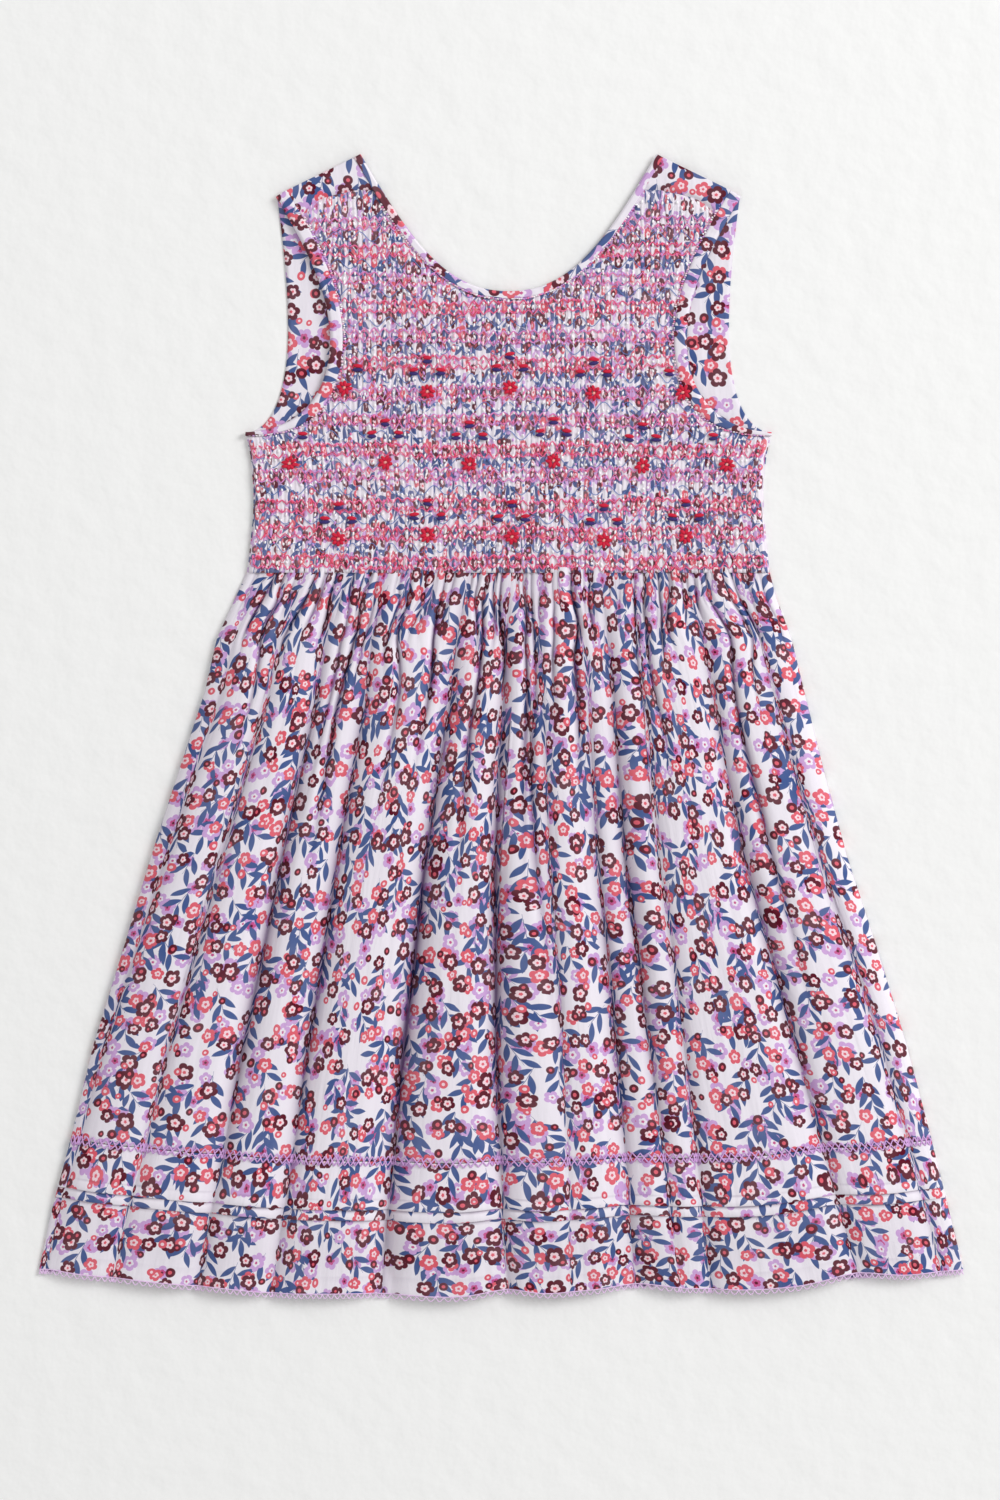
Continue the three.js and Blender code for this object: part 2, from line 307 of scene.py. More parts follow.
def cloth_grid(name, columns, rows, shape):
    """A grid of cloth. shape turns its two runs, 0 to 1 across and along, into x, y and z on the dress and u
    and v on the flat cloth, all in mm, and may add how dark the painted shade in its creases is, from 0 to 1."""
    mesh = flat_grid(name, columns, rows, 0.5)
    across, along, _ = spots_of(mesh) + 0.5
    x, y, z, u, v, *painted_shade = shape(across, along)
    # the painted shade of creases and tucks, kept on the points for the material
    if painted_shade:
        mesh.attributes.new("painted_shade", "FLOAT", "POINT").data.foreach_set("value", painted_shade[0])
    mesh.vertices.foreach_set("co", ((np.column_stack((x, y, z)) + PATTERN_PLACE) * MM).ravel())
    mesh.update()
    if sum(face.normal.z for face in mesh.polygons) < 0:
        mesh.flip_normals()
    corners = np.empty(len(mesh.loops), int)
    mesh.loops.foreach_get("vertex_index", corners)
    flat = mesh.uv_layers.new(name="flat_cloth")
    flat.data.foreach_set("uv", (np.column_stack((u, v))[corners] * MM).ravel())
    return mesh


def cloth_piece(mesh, material, slot, thickness, *nodes):
    """The object of a cloth mesh: smooth, facing up, with its thickness below, standing for its CAD nodes"""
    made = in_scene(mesh.name, mesh)
    mesh.materials.append(material)
    mesh.shade_smooth()
    if thickness:
        wall = made.modifiers.new("thickness", "SOLIDIFY")
        wall.thickness = thickness * MM
        wall.offset = -1
    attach(made, "root")
    if nodes:
        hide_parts(*nodes)
    return made


def voile_piece(stands_for, columns, rows, shape):
    """A piece of the plain printed voile that stands for one CAD node"""
    return cloth_piece(cloth_grid(stands_for + "_cotton", columns, rows, shape), printed_voile,
                       "printed_cotton", VOILE, stands_for)


def bezier(part, *points):
    """A place on the cubic curve through four points"""
    a, b, c, d = [np.array(point, float)[:, None] for point in points]
    rest = 1 - part
    return a * rest**3 + 3 * b * rest**2 * part + 3 * c * rest * part**2 + d * part**3


WAIST_PART = 0.42  # how far along the armhole its waist comes


def armhole_edge(part, waist):
    """The armhole's edge from the underarm, 0, through its waist to the shoulder's tip, 1"""
    low = bezier(np.clip(part / WAIST_PART, 0, 1), UNDERARM,
                 (lerp(waist[0], UNDERARM[0], 0.36), UNDERARM[1] + 0.6),
                 (waist[0], lerp(UNDERARM[1], waist[1], 0.4)), waist)
    high = bezier(np.clip((part - WAIST_PART) / (1 - WAIST_PART), 0, 1), waist,
                  (waist[0], lerp(waist[1], SHOULDER_TIP[1], 0.33)),
                  (lerp(waist[0], SHOULDER_TIP[0], 0.44), lerp(waist[1], SHOULDER_TIP[1], 0.65)),
                  SHOULDER_TIP)
    return np.where(part < WAIST_PART, low, high)


def neck_edge(part):
    """The front neckline's edge from its foot in the middle, 0, to the shoulder seam, 1"""
    return bezier(part, (0, NECK_FOOT_Y), (31, NECK_FOOT_Y), (48, 238), SHOULDER_NECK)


def moved_edge(edge, part, distance):
    """An edge moved square to itself; to the left of its run is positive"""
    step = 0.01
    before, after = edge(np.clip(part - step, 0, 1)), edge(np.clip(part + step, 0, 1))
    run = (after - before) / np.hypot(*(after - before))
    return edge(part) + np.array((-run[1], run[0])) * distance


def patch(bottom, top, left, right):
    """A flat patch of cloth between four edges, each a run from 0 to 1 of places"""

    def place(across, along):
        zero, one = np.zeros_like(across), np.ones_like(across)
        between = lerp(bottom(across), top(across), along) + lerp(left(along), right(along), across)
        corners = lerp(lerp(bottom(zero), bottom(one), across), lerp(top(zero), top(one), across), along)
        return between - corners

    return place


def joined_runs(first, second, share):
    """One run made of two, the first of them over its share of the whole"""
    return lambda part: np.where(part < share, first(np.clip(part / share, 0, 1)),
                                 second(np.clip((part - share) / (1 - share), 0, 1)))


def side_seam(part):
    y = lerp(WAIST_Y, UNDERARM[1], part)
    return np.array((np.interp(y, SIDE_SEAM_Y, SIDE_SEAM_HALF), y))


def straight(start, end):
    """A straight edge from one place to another"""
    return lambda part: np.array([lerp(start[0], end[0], part), lerp(start[1], end[1], part)])


def back_neck(part):
    return moved_edge(neck_edge, part, -BACK_NECK_DROP)


back_neck_top = back_neck(np.array([1.0]))[:, 0]
back_half = patch(
    straight((0, WAIST_Y), (SIDE_SEAM_HALF[0], WAIST_Y)),
    joined_runs(back_neck, straight(back_neck_top, SHOULDER_TIP), NECK_SHARE),
    straight((0, WAIST_Y), (0, NECK_FOOT_Y - BACK_NECK_DROP)),
    joined_runs(side_seam, lambda part: armhole_edge(part, BACK_ARMHOLE_WAIST), SEAM_SHARE))


def back_bodice_shape(across, along):
    side = across * 2 - 1
    x, y = back_half(np.abs(side), along)
    x = np.copysign(x, side)
    soft = 0.12 * np.sin(x / 9 + 1.3 * np.sin(y / 23)) * np.sin(y / 17)
    return x + BODICE_MIDDLE, y, BACK_BODICE_TOP + soft, x + BACK_BODICE_CUT, y


back_bodice = voile_piece("back_bodice", 96, 60, back_bodice_shape)

# Smocked front.
# The front is the same voile, pleated into fine upright reeds and held by bands of stitches and zigzags in
# pink, coral and pale thread. Waves of blue thread run between the bands.

FRONT_ARMHOLE_WAIST = (87, 190)
ARMHOLE_BINDING_WIDTH = 6
ARMHOLE_BINDING_END = 1.8
NECK_BINDING_WIDTH = 3.6
SMOCKING_ARMHOLE_Y = 250
SMOCKING_NECK_Y = 263
REED_PAIRS = 53  # reeds on each side of the middle
REED_CLOTH = 6.6  # mm of flat cloth in each reed
REED_SHOWN = 3.2  # mm of it that shows on the reed's rounded top
REED_FOOT = 2.85
REED_RISE = 0.45
SMOCKING_EASE = 1.08  # mm of flat cloth in each mm of a reed's length
SMOCKING_CUT = 900
BOUND_TOP = 2.1  # how high the smocking lies at its bindings
SEAM_TOP = 1.2  # and at its side seams
STITCH_ROW = 3  # mm between the rows of stitches
SMOCKING_FOOT_Y = WAIST_Y - 0.5
SMOCKING_HEAD_Y = 265
UNDER_BINDING = 1.6  # how far the smocking runs in under its bindings


def armhole_width(part):
    return lerp(ARMHOLE_BINDING_END, ARMHOLE_BINDING_WIDTH, smoothstep(part, 0, 0.25))


def front_armhole(part):
    return armhole_edge(part, FRONT_ARMHOLE_WAIST)


edge_run = np.linspace(0, 1, 120)
armhole_line = moved_edge(front_armhole, edge_run, armhole_width(edge_run))
neck_line = moved_edge(neck_edge, edge_run, -NECK_BINDING_WIDTH)
upper = edge_run > 0.5
armhole_end = np.interp(SMOCKING_ARMHOLE_Y, armhole_line[1][upper], edge_run[upper])
neck_end = np.interp(SMOCKING_NECK_Y, neck_line[1][upper], edge_run[upper])
end_armhole_x = moved_edge(front_armhole, np.array([armhole_end]), ARMHOLE_BINDING_WIDTH)[0][0]
end_neck_x = moved_edge(neck_edge, np.array([neck_end]), -NECK_BINDING_WIDTH)[0][0]


def smocking_end(part):
    """The rounded, uneven end of the smocking, from the neck, 0, to the armhole, 1"""
    turn = part * math.pi / 2 + 0.035 * np.sin(part * 31) * np.sin(part * math.pi)
    return np.array((end_neck_x + (end_armhole_x - end_neck_x) * np.sin(turn),
                     SMOCKING_ARMHOLE_Y + (SMOCKING_NECK_Y - SMOCKING_ARMHOLE_Y) * np.cos(turn)))


bound_line = np.hstack((armhole_line[:, edge_run < armhole_end], smocking_end(edge_run[::-1]),
                        neck_line[:, edge_run < neck_end][:, ::-1]))
panel_outline = np.hstack((np.array([(0, WAIST_Y - 2), (SIDE_SEAM_HALF[0], WAIST_Y - 2)]).T,
                           side_seam(edge_run[:-4]), bound_line, [(0,), (NECK_FOOT_Y - NECK_BINDING_WIDTH,)]))


def within(x, y, outline):
    """Whether places lie inside an outline"""
    inside = np.zeros(len(x), bool)
    for (x0, y0), (x1, y1) in zip(outline.T, np.roll(outline, -1, axis=1).T):
        if y0 != y1:
            inside ^= ((y0 > y) != (y1 > y)) & (x < x0 + (x1 - x0) * (y - y0) / (y1 - y0))
    return inside


def room_inside(x, y):
    """How far places on the front lie inside the bindings and the smocking's end, in mm: below 0 outside"""
    away = np.full(len(x), 1e9)
    for edge_x, edge_y in bound_line.T:
        away = np.minimum(away, np.hypot(np.abs(x) - edge_x, y - edge_y))
    return np.where(within(np.abs(x), y, panel_outline), away, -away)


def panel_half(y):
    return np.interp(y, SIDE_SEAM_Y, SIDE_SEAM_HALF)


def reed_height(reed, y, room, half_room):
    """The smocking's top: rounded reeds that rows of stitches pinch, thin at the bindings and side seams"""
    pinch = 0.6 + 0.4 * np.cos(2 * math.pi * ((y - WAIST_Y) / STITCH_ROW + 0.5))
    top = REED_FOOT + REED_RISE * (1 + np.cos(2 * math.pi * reed) * pinch)
    top = lerp(BOUND_TOP, top, smoothstep(room, -0.3, 2.6))
    return lerp(SEAM_TOP, top, np.sqrt(np.clip(half_room / 3, 0, 1)))


def smocking_shape(across, along):
    reed = (across * 2 - 1) * REED_PAIRS
    y = lerp(SMOCKING_FOOT_Y, SMOCKING_HEAD_Y, along)
    sway = 0.16 * np.sin(y / 3.7 + np.round(reed) * 2.3) * (1 - np.abs(across * 2 - 1) ** 12)
    x = (reed + sway) / REED_PAIRS * panel_half(y)
    z = reed_height(reed, y, room_inside(x, y), panel_half(y) - np.abs(x))
    whole = np.round(reed)
    u = REED_CLOTH * whole + REED_SHOWN * (reed - whole)
    return x + BODICE_MIDDLE, y, z, u + SMOCKING_CUT, y * SMOCKING_EASE


THREAD_HAZE = (254, 232, 243)
smocked_voile = cotton_finish("smocked_voile", THREAD_HAZE, least_haze=0.03, most_haze=0.16)
smocking_grid = cloth_grid("front_smocked_panel_cotton", REED_PAIRS * 8, 126, smocking_shape)
x, y, _ = spots_of(smocking_grid) / MM - np.array(PATTERN_PLACE)[:, None]
cut = bmesh.new()
cut.from_mesh(smocking_grid)
cut.verts.ensure_lookup_table()
outside = np.flatnonzero(room_inside(x - BODICE_MIDDLE, y) <= -UNDER_BINDING)
bmesh.ops.delete(cut, geom=[cut.verts[i] for i in outside], context="VERTS")
cut.to_mesh(smocking_grid)
cut.free()
smocked_front = cloth_piece(smocking_grid, smocked_voile, "smocked_cotton", VOILE, "front_smocked_panel")

THREAD_SHADES = {"coral": (236, 84, 120), "pink": (244, 128, 180), "pale_pink": (255, 214, 230),
                 "lilac": (212, 160, 224), "white": (255, 253, 255), "blue": (104, 132, 194),
                 "navy": (58, 48, 110), "red": (206, 30, 62), "pale_coral": (246, 168, 160)}


def thread_material(name, paint=None):
    """Soft cotton thread: its own colour, or the colour that each stitch carries, a little uneven and matt"""
    material, tree, shader = new_material(name, {"Roughness": 0.65, "Sheen Weight": 0.08,
                                                 "Specular IOR Level": 0.2})
    place = node("TexCoord", {}, "Object", tree)
    if paint:
        colour = dye(*paint)[:3]
    else:
        colour = node("Attribute", {}, "Color", tree, attribute_name="thread_colour")
    wear = spread(noise(place, 700, 2), 0.9, 1.1, *NOISE_RUN)
    feed(shader.inputs["Base Color"], vector_maths("MULTIPLY", wear, colour))
    roughen(shader, noise(place, 2400, 1), 0.2 * MM)
    return material


stitch_thread = thread_material("stitch_thread")


def sewn(name, stitches, round_steps=1):
    """Stitches joined as one piece. Each has its place on the pattern, its turn on the cloth, its width,
    length and height in mm and its shade."""
    ball = bmesh.new()
    bmesh.ops.create_icosphere(ball, subdivisions=round_steps, radius=0.5)
    bead = np.array([spot.co for spot in ball.verts])
    faces = np.array([[spot.index for spot in face.verts] for face in ball.faces])
    ball.free()
    places, turns, sizes, shades = zip(*stitches)
    x, y, z = (bead * np.array(sizes)[:, None]).transpose(2, 0, 1)
    turn_x, turn_y = np.cos(turns)[:, None], np.sin(turns)[:, None]
    turned = np.stack((x * turn_x - y * turn_y, x * turn_y + y * turn_x, z), axis=2)
    spots = (turned + np.array(places)[:, None] + PATTERN_PLACE) * MM
    first = np.arange(len(stitches))[:, None, None] * len(bead)
    mesh = bpy.data.meshes.new(name)
    mesh.from_pydata(spots.reshape(-1, 3), [], (faces + first).reshape(-1, 3))
    paints = np.repeat([dye(*THREAD_SHADES[shade]) for shade in shades], len(bead), axis=0)
    mesh.attributes.new("thread_colour", "FLOAT_COLOR", "POINT").data.foreach_set("color", paints.ravel())
    return cloth_piece(mesh, stitch_thread, "smocked_cotton", 0)


def threads(name, slot, lines, radius, material, *nodes):
    """Threads along lines of places on the pattern, in mm, joined as one piece"""
    curve = bpy.data.curves.new(name, "CURVE")
    curve.dimensions = "3D"
    curve.bevel_depth = radius * MM
    curve.bevel_resolution = 1
    curve.use_fill_caps = True
    for line in lines:
        spline = curve.splines.new("POLY")
        spline.points.add(len(line) - 1)
        spots = np.column_stack(((np.array(line) + PATTERN_PLACE) * MM, np.ones(len(line))))
        spline.points.foreach_set("co", spots.ravel())
    drawn = in_scene(name + "_line", curve)
    graph = bpy.context.evaluated_depsgraph_get()
    mesh = bpy.data.meshes.new_from_object(drawn.evaluated_get(graph))
    bpy.data.objects.remove(drawn)
    mesh.name = name
    mesh.materials.clear()
    return cloth_piece(mesh, material, slot, 0, *nodes)


BAND_YS = (206, 191.5, 178.5, 163.5, 150.5, 135.5, 123.5, 108.5, 95, 80.5, 220, 234, 247)
PALE_BANDS = (123.5, 150.5, 163.5, 191.5, 220, 247)
BAND_HALF = 3.6
BAND_LINES = (-2.3, 0, 2.3)  # where a band's three rows of stitches lie, from its middle
BAND_SHADES = {"coral": 0.18, "pink": 0.18, "pale_pink": 0.26, "white": 0.34, "lilac": 0.04}
PALE_SHADES = {"pink": 0.16, "pale_pink": 0.26, "white": 0.44, "lilac": 0.14}
FIELD_SHADES = {"lilac": 0.12, "pink": 0.04, "blue": 0.12, "white": 0.72}
STITCH_HIGH = 0.8
chance = np.random.default_rng(5)


def row_drift(x, y):
    """How far a row of stitches strays up or down as it crosses the front"""
    return 0.6 * np.sin(x / 17 + y / 11) + 0.35 * np.sin(x / 6.3 - y / 5)


def stitched_rows(row_ys, share, shades, wide, least_long, most_long):
    """Stitches on the reeds along some rows, leaving out a few at random and all that a binding would hide"""
    reeds, rows = np.meshgrid(np.arange(-REED_PAIRS, REED_PAIRS + 1), row_ys)
    y = rows.ravel() + chance.uniform(-0.55, 0.55, rows.size)
    x = reeds.ravel() / REED_PAIRS * panel_half(y) + chance.uniform(-0.4, 0.4, rows.size)
    y = y + row_drift(x, y)
    room = room_inside(x, y)
    side_room = panel_half(y) - np.abs(x)
    kept = (room > 0.8) & (side_room > 1.5) & (chance.uniform(0, 1, rows.size) < share)
    x, y, z = x[kept], y[kept], reed_height(0, y, room, side_room)[kept] + 0.1
    turns = chance.uniform(-0.45, 0.45, len(x))
    longs = chance.uniform(least_long, most_long, len(x))
    paints = chance.choice(list(shades), len(x), p=list(shades.values()))
    return [((x[i] + BODICE_MIDDLE, y[i], z[i]), turns[i], (wide, longs[i], STITCH_HIGH), paints[i])
            for i in range(len(x))]


field_rows = [y for y in np.arange(WAIST_Y + 1.2, SMOCKING_HEAD_Y, STITCH_ROW)
              if min(abs(y - band) for band in BAND_YS) > BAND_HALF]
strong_rows = [band + aside for band in BAND_YS if band not in PALE_BANDS for aside in BAND_LINES]
pale_rows = [band + aside for band in PALE_BANDS for aside in BAND_LINES]
band_stitches = (stitched_rows(strong_rows, 0.66, BAND_SHADES, wide=1.15, least_long=1.6, most_long=2.8)
                 + stitched_rows(pale_rows, 0.62, PALE_SHADES, wide=1.15, least_long=1.6, most_long=2.8))
field_stitches = stitched_rows(field_rows, 0.5, FIELD_SHADES, wide=1.2, least_long=1.2, most_long=2.4)
smocking_threads = [sewn("smocking_band_stitches", band_stitches),
                    sewn("smocking_field_stitches", field_stitches)]


def over_reeds(x, y):
    """The parts of a line across the smocking that no binding hides, laid over the reeds"""
    room = room_inside(x, y)
    side_room = panel_half(y) - np.abs(x)
    whole = np.column_stack((x + BODICE_MIDDLE, y, reed_height(0, y, room, side_room) + 0.15))
    shown = np.flatnonzero((room > 1) & (side_room > 2))
    runs = np.split(shown, np.flatnonzero(np.diff(shown) > 1) + 1)
    return [whole[run] for run in runs if len(run) > 2]


WAVE_HEIGHT = 4.6
WAVE_RADIUS = 0.18
ZIGZAG_RADIUS = 0.19
line_x = np.arange(-128, 128, 0.6)
waves, cords = [], {"coral": [], "pink": [], "lilac": []}
for low, high in zip(sorted(BAND_YS), sorted(BAND_YS)[1:]):
    width = chance.uniform(9, 13)
    waves += over_reeds(line_x, (low + high) / 2 + WAVE_HEIGHT / 2 * np.cos(2 * math.pi * line_x / width))
for band in BAND_YS:
    main, other = ("pink", "lilac") if band in PALE_BANDS else ("coral", "pink")
    for aside, shade, tall in ((-2, main, 3), (2, main, -3), (-2.6, other, 2), (2.6, other, -2)):
        reed = line_x / panel_half(band) * REED_PAIRS
        zigzag = tall * (np.abs(reed / 2 % 1 - 0.5) * 2 - 0.5)
        line_y = band + aside + zigzag * (1 + 0.35 * np.sin(line_x / 5 + band)) + row_drift(line_x, band)
        cords[shade] += over_reeds(line_x, line_y)
smocking_threads.append(threads("smocking_waves", "smocked_cotton", waves, WAVE_RADIUS,
                                thread_material("blue_thread", THREAD_SHADES["blue"])))
for shade, lines in cords.items():
    smocking_threads.append(threads("smocking_zigzags_" + shade, "smocked_cotton", lines, ZIGZAG_RADIUS,
                                    thread_material(shade + "_thread", THREAD_SHADES[shade])))

# Rosettes and knots.
# Chunky red rosettes of wound petals in three rows, each under three short knots that are red over navy, all
# worked in thick thread over the smocking.

ROSETTE_ROWS = [
    {"y": 164.9, "x": (-78.4, -37.7, 2.9, 44.1, 87.7), "peak": 15.7, "pair": 9.8},
    {"y": 129.1, "x": (-105.4, -58.3, -16.9, 24.3, 68.1, 109.3), "peak": 19.6, "pair": 13.7},
    {"y": 92.6, "x": (-81.3, -37.5, 3.9, 49, 89.2), "peak": 16.2, "pair": 9.3},
]
ROSETTE_PETALS = 8
PETAL_REACH = 2.4
KNOT_SPREAD = 6.6
petals, knots = [], []
for row in ROSETTE_ROWS:
    for x in row["x"]:
        y = row["y"] + chance.uniform(-1.5, 1.5)
        top = REED_FOOT + 2 * REED_RISE
        first_turn = chance.uniform(0, 1)
        for i in range(ROSETTE_PETALS):
            turn = first_turn + 2 * math.pi * i / ROSETTE_PETALS
            reach = PETAL_REACH * chance.uniform(0.8, 1.15)
            place = (x + reach * math.cos(turn), y + reach * math.sin(turn), top + 0.5)
            petals.append((place, turn + chance.uniform(-0.5, 0.5), (chance.uniform(2.6, 3.9), 1.9, 1.5),
                           "red"))
        petals.append(((x, y, top + 0.9), first_turn, (1.7, 1.3, 0.9), "pale_coral"))
        for aside, above in ((0, row["peak"]), (-KNOT_SPREAD, row["pair"]), (KNOT_SPREAD, row["pair"])):
            lies_inside = room_inside(np.array([x + aside - BODICE_MIDDLE]), np.array([y + above]))[0] > 3.5
            for lift, shade in ((0.95, "red"), (-0.95, "navy")) if lies_inside else ():
                place = (x + aside, y + above + lift, top + 0.4)
                knots.append((place, chance.uniform(-0.15, 0.15), (chance.uniform(4.6, 5.6), 2, 1.5), shade))
smocking_threads += [sewn("rosettes", petals, 2), sewn("two_tone_knots", knots, 2)]

# Bindings.
# Straight strips of the printed voile, folded over the edges of the neck and of the front's armholes and
# stitched down, with a line of lilac stitches where they meet the smocking.

BINDING_TOP = 3.7
BINDING_FOOT = 1.5
BINDING_TUCK = 0.12
BINDING_CUT_LONG = 150
ARMHOLE_LIFT = 0.8  # how far the front's armhole edges stand off the back between their two ends


def binding_shape(edge, width, side, cut, lift=0):
    """A binding along an edge, rounded over it, from the cloth's stretch that starts at cut"""
    def shape(part, over):
        aside = lerp(-BINDING_TUCK, 1, over) * width(part)
        x, y = moved_edge(edge, part, aside)
        round_over = np.sqrt(np.clip(np.minimum(over / 0.22, (1 - over) / 0.1), 0, 1))
        pucker = 0.12 * np.sin(part * 160 + 2 * np.sin(part * 31))
        z = BINDING_FOOT + (BINDING_TOP - BINDING_FOOT + pucker) * round_over
        z = z + lift * np.sqrt(np.clip(np.sin(part * math.pi), 0, 1)) * (1 - over**4)
        return x * side + BODICE_MIDDLE, y, z, over * width(part) + cut, part * BINDING_CUT_LONG
    return shape


def neck_run(part):
    """The whole neckline's edge, from the right shoulder, 0, to the left, 1"""
    side = part * 2 - 1
    x, y = neck_edge(np.abs(side))
    return np.array((np.copysign(x, side), y))


def neck_width(part):
    return -NECK_BINDING_WIDTH + 0 * part


bindings = [voile_piece("neck_binding", 200, 10, binding_shape(neck_run, neck_width, 1, cut=600))]
for side, name in ((1, "armhole_binding_left"), (-1, "armhole_binding_right")):
    bindings.append(voile_piece(name, 130, 12, binding_shape(front_armhole, armhole_width, side,
                                                             640 + side * 25, ARMHOLE_LIFT)))
edge_stitches = []
for side in (1, -1):
    for edge, width in ((front_armhole, armhole_width), (neck_edge, neck_width)):
        run = np.linspace(0.02, 0.98, 120 if edge is front_armhole else 85)
        x, y = moved_edge(edge, run, width(run) * chance.uniform(0.94, 1.12, len(run)))
        longs = chance.uniform(1.1, 1.9, len(run))
        turns = chance.uniform(-0.6, 0.6, len(run))
        paints = chance.choice(("lilac", "pale_pink", "white", "pink"), len(run), p=(0.4, 0.25, 0.25, 0.1))
        edge_stitches += [((x[i] * side + BODICE_MIDDLE, y[i], BINDING_TOP - 0.45), turns[i],
                           (longs[i], 1, STITCH_HIGH), paints[i])
                          for i in range(len(run)) if y[i] < SMOCKING_NECK_Y - 6]
smocking_threads.append(sewn("binding_edge_stitches", edge_stitches))

# Shoulders.
# The plain ends of the front above the smocking, cut from the same voile and sewn to the back along the
# shoulder seams.

SHOULDER_TOP = 3.4
SHOULDER_CUT = 1100


def shoulder_shape(side):
    def neck_side(part):
        return moved_edge(neck_edge, lerp(neck_end, 1, part), -(NECK_BINDING_WIDTH - 1))

    def armhole_side(part):
        return moved_edge(front_armhole, lerp(armhole_end, 1, part), ARMHOLE_BINDING_WIDTH - 1)

    one = np.array([1.0])
    seam = straight(neck_side(one)[:, 0], armhole_side(one)[:, 0])
    whole = patch(smocking_end, seam, neck_side, armhole_side)

    def shape(across, along):
        x, y = whole(across, along)
        puff = 0.5 * np.sin(across * math.pi) * np.sin(along * math.pi) + 0.15 * np.sin(x / 3.1) * (1 - along)
        rise = smoothstep(along, -0.02, 0.2)
        return x * side + BODICE_MIDDLE, y, lerp(2, SHOULDER_TOP, rise) + puff, x + SHOULDER_CUT * side, y
    return shape


for side, name in ((1, "shoulder_left"), (-1, "shoulder_right")):
    shoulder = voile_piece(name, 30, 26, shoulder_shape(side))

# Skirt.
# Two straight panels of the printed voile, cut about twice as wide as the waist and gathered into the bodice.
# Creases start at the waist and run out at different lengths, and the largest folds reach the hem.

SKIRT_FLAT_HALF = 272  # half the width of each panel before it is gathered
HEM_DROP = 357
HEM_BOW = 13.5
INSERTION_DROP = 290
INSERTION_WIDTH = 4.2
INSERTION_GAPS = {"front": 0.3, "back": 3.4}  # between the two edges of cloth that it joins
WAIST_TUCK_IN = 2.2  # how far the skirt runs up under the smocking
SECTION_DROP = (0, 14, 34, 62, 100, 146, 192, 242, 290, 325, 357)
SECTION_HALF = (128.3, 133.1, 141.1, 147.4, 157.9, 171.1, 185, 199.9, 211.5, 220.2, 227.3)
SECTION_MIDDLE = (2.2, 0.9, 0.1, 0.3, -1.2, -2.4, -1.8, -1.9, -1.4, -1.8, -1.3)
SECTION_LOFT = (4.8, 7.6, 10.6, 13.2, 15.2, 16.2, 16.4, 16, 15.7, 15.5, 15.2)
FRONT_EDGE_TOP = 1.1
HEM_FALL = 8  # how far the cloth falls towards the surface at the hem
LEAST_TOP = 1.9  # how near the surface the bottom of a front crease may come
BACK_SKIRT_TOP = 0.6
BACK_HEM_RISE = 5
DRAW_REACH = 0.22  # a smaller number draws the hem up over a wider stretch

# Each large fold's valley: where it runs between the side edges, from -1 to 1, and how far it sinks, both at
# the waist, half way down and at the hem; then its half width and how far it lifts the hem.
FRONT_VALLEYS = [
    ((-0.93, -0.962, -0.985), (1.2, 3, 2.6), 5, 2),
    ((-0.78, -0.805, -0.84), (1.2, 3.6, 1.6), 7, 0.5),
    ((-0.625, -0.63, -0.656), (1.2, 6, 3.2), 8, 0),
    ((-0.46, -0.47, -0.495), (1.2, 6, 3.6), 9, -1),
    ((-0.15, -0.225, -0.257), (1.2, 7.8, 6.4), 10, 1),
    ((0.013, -0.012, 0.015), (1.2, 7, 3.4), 8, 4),
    ((0.11, 0.148, 0.15), (1.2, 2.5, 0), 6, 1.5),
    ((0.275, 0.285, 0.29), (0, 5, 4.4), 12, 5.5),
    ((0.36, 0.366, 0.385), (1.2, 5, 0), 6, 0),
    ((0.47, 0.458, 0.452), (1.2, 2.6, 3), 7, 1),
    ((0.69, 0.713, 0.77), (1.2, 5, 2.5), 9, 4.5),
    ((0.88, 0.925, 0.95), (1.2, 3.2, 2), 6, 1),
]
BACK_VALLEYS = [
    ((-0.83, -0.86, -0.9), (0.4, 0.8, 0.7), 7, 0),
    ((-0.5, -0.56, -0.6), (0.4, 1, 1), 9, 0),
    ((-0.2, -0.24, -0.27), (0.4, 0.9, 1), 8, 0),
    ((0.1, 0.11, 0.14), (0.4, 1, 0.9), 10, 0),
    ((0.36, 0.42, 0.45), (0.4, 0.8, 1), 8, 0),
    ((0.7, 0.74, 0.79), (0.4, 1, 0.8), 9, 0),
]


def down_skirt(values, drop):
    """A value given at the waist, half way down and at the hem, on one smooth curve"""
    waist, half_way, hem = values
    part = drop / HEM_DROP
    return (waist * (1 - part) * (1 - 2 * part) + half_way * 4 * part * (1 - part)
            + hem * part * (2 * part - 1))


def skirt_half(drop):
    return np.interp(drop, SECTION_DROP, SECTION_HALF)


